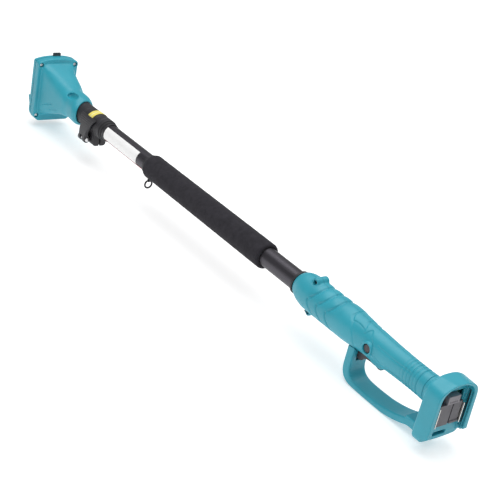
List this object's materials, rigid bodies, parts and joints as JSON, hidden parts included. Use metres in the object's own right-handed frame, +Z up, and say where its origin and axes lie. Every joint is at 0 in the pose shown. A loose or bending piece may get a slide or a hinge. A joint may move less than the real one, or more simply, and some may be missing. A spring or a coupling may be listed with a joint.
{
  "type": "battery pole power head",
  "caption": "Telescopic battery pole for a hedge trimmer: D-guard trigger handle, battery bay, foam grip, lever clamp, and a flared head with a slide-on tool adapter.",
  "frame": {"origin": "under the middle of the retracted pole, level with the flat underside of the hand guard", "axes": "+X along the tubes, from the tool adapter to the battery bay; +Z up; +Y the user's right hand side"},
  "size_m": [1.165, 0.085, 0.148],
  "materials": {
    "teal_shell": "fine textured teal nylon",
    "black_plastic": "fine textured black",
    "lever_plastic": "satin dark grey",
    "terminal_plastic": "satin grey",
    "button_plastic": "satin brown-grey",
    "grip_foam": "closed-cell foam with a fine grain",
    "dark_tube": "dark anodised, satin",
    "bright_tube": "clear anodised, satin",
    "steel": "zinc plated",
    "dark_steel": "black oxide",
    "contact_metal": "nickel plated",
    "white_label": "printed film",
    "yellow_label": "printed film",
    "circuit_board": "coated board"
  },
  "bodies": {
    "handle": {"outer_tube": "dark_tube", "coiled_lead": "black_plastic", "foam_grip": "grip_foam", "strap_band": "black_plastic", "tube_label": "white_label", "handle_shell_left": "teal_shell", "handle_shell_right": "teal_shell", "front_cuff": "black_plastic", "handle_screw_front_top": "dark_steel", "handle_screw_front_bottom": "dark_steel", "handle_screw_rear_top": "dark_steel", "handle_screw_rear_bottom": "dark_steel", "hand_guard": "teal_shell", "battery_housing": "teal_shell", "terminal_block": "terminal_plastic", "data_connector": "terminal_plastic", "terminal_blade_left": "contact_metal", "terminal_blade_right": "contact_metal", "controller_board": "circuit_board", "trigger_pin": "steel", "trigger_spring": "steel", "switch_body": "black_plastic", "lockoff_spring": "steel", "clamp_collar": "black_plastic", "clamp_lever_pin": "steel", "clamp_eye_bolt": "steel", "clamp_nut": "steel", "collar_label": "yellow_label"},
    "extension": {"inner_tube": "bright_tube", "tube_guide_bush": "black_plastic", "neck_sleeve": "black_plastic", "head_shell": "teal_shell", "head_front_plate": "teal_shell", "tool_adapter": "black_plastic", "adapter_contact_left": "contact_metal", "adapter_contact_right": "contact_metal", "head_screw_top_left": "steel", "head_screw_top_right": "steel", "head_screw_bottom_left": "steel", "head_screw_bottom_right": "steel", "latch_spring": "steel"},
    "trigger": {"trigger": "button_plastic"},
    "lockoff_button": {"lockoff_button": "button_plastic"},
    "clamp_lever": {"clamp_lever": "lever_plastic"},
    "latch_tab": {"latch_tab": "black_plastic"},
    "strap_ring": {"strap_ring": "dark_steel"}
  },
  "joints": [
    {"name": "pole_extend", "type": "slide", "parent": "handle", "child": "extension", "axis": [-1, 0, 0], "range_m": [0, 0.45], "deforming": ["coiled_lead"]},
    {"name": "clamp_lever_hinge", "type": "hinge", "parent": "handle", "child": "clamp_lever", "pos_m": [-0.3825, -0.0206, 0.047], "axis": [1, 0, 0], "range_deg": [0, 120]},
    {"name": "trigger_hinge", "type": "hinge", "parent": "handle", "child": "trigger", "pos_m": [0.4565, 0, 0.061], "axis": [0, 1, 0], "range_deg": [0, 7], "stiffness_Nm_per_rad": 1.5, "springref_deg": -8.59, "deforming": ["trigger_spring"]},
    {"name": "lockoff_slide", "type": "slide", "parent": "handle", "child": "lockoff_button", "axis": [0, 1, 0], "range_m": [0, 0.0035], "stiffness_N_per_m": 400, "springref_m": -0.003, "deforming": ["lockoff_spring"]},
    {"name": "latch_slide", "type": "slide", "parent": "extension", "child": "latch_tab", "axis": [0, 0, -1], "range_m": [0, 0.004], "stiffness_N_per_m": 500, "springref_m": -0.002, "deforming": ["latch_spring"]},
    {"name": "strap_ring_swing", "type": "hinge", "parent": "handle", "child": "strap_ring", "pos_m": [-0.1795, 0, 0.0488], "axis": [0, 1, 0], "range_deg": [-80, 80]}
  ]
}
